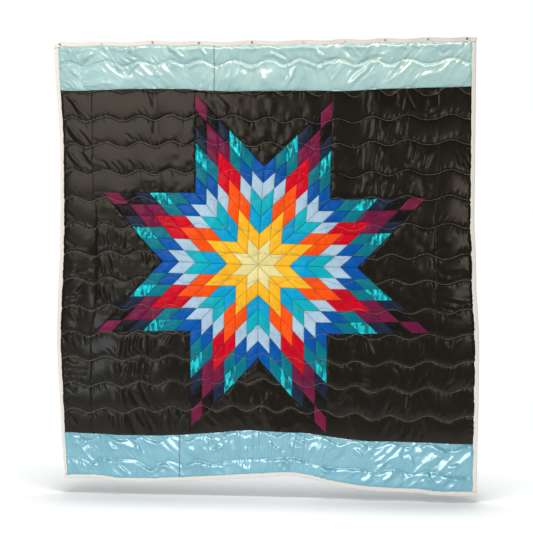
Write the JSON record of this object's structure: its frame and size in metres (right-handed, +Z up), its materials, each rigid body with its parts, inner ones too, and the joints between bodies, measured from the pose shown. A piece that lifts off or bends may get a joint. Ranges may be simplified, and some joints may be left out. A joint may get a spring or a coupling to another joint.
{
  "type": "star quilt blanket hung on push pins",
  "caption": "satin patchwork blanket with a large eight-point star, wavy quilting, light blue head and foot bands and white binding, hung flat by push pins along its top edge",
  "frame": {"origin": "middle of the top edge, on the line of the push pins and on the middle of the cloth's thickness", "axes": "+Z up along the height of the hung blanket, front of the blanket towards -Y, wall side towards +Y, +X to the right as seen from the front"},
  "size_m": [1.8988, 0.0308, 2.0218],
  "materials": {
    "star_satin": "pieced satin and metallic cloth in many colours",
    "dark_satin": "black satin, quilted",
    "light_blue_satin": "light blue satin, quilted",
    "white_binding": "white satin binding tape",
    "pin_grey_brown": "moulded head",
    "pin_white": "moulded head",
    "pin_brown": "moulded head",
    "pin_rust": "moulded head",
    "pin_orange": "moulded head",
    "pin_mauve": "moulded head",
    "pin_dark_grey": "moulded head"
  },
  "bodies": {
    "root": {"star_arm_east_north": "star_satin", "star_arm_north_east": "star_satin", "star_arm_north_west": "star_satin", "star_arm_west_north": "star_satin", "star_arm_west_south": "star_satin", "star_arm_south_west": "star_satin", "star_arm_south_east": "star_satin", "star_arm_east_south": "star_satin", "corner_square_upper_right": "dark_satin", "corner_square_upper_left": "dark_satin", "corner_square_lower_left": "dark_satin", "corner_square_lower_right": "dark_satin", "side_triangle_top": "dark_satin", "side_triangle_left": "dark_satin", "side_triangle_bottom": "dark_satin", "side_triangle_right": "dark_satin", "side_border_left": "dark_satin", "side_border_right": "dark_satin", "head_band": "light_blue_satin", "foot_band": "light_blue_satin", "binding_head": "white_binding", "binding_foot": "white_binding", "binding_left": "white_binding", "binding_right": "white_binding", "push_pin_01": "pin_grey_brown", "push_pin_02": "pin_white", "push_pin_03": "pin_brown", "push_pin_04": "pin_brown", "push_pin_05": "pin_rust", "push_pin_06": "pin_white", "push_pin_07": "pin_white", "push_pin_08": "pin_orange", "push_pin_09": "pin_mauve", "push_pin_10": "pin_dark_grey"}
  },
  "joints": []
}
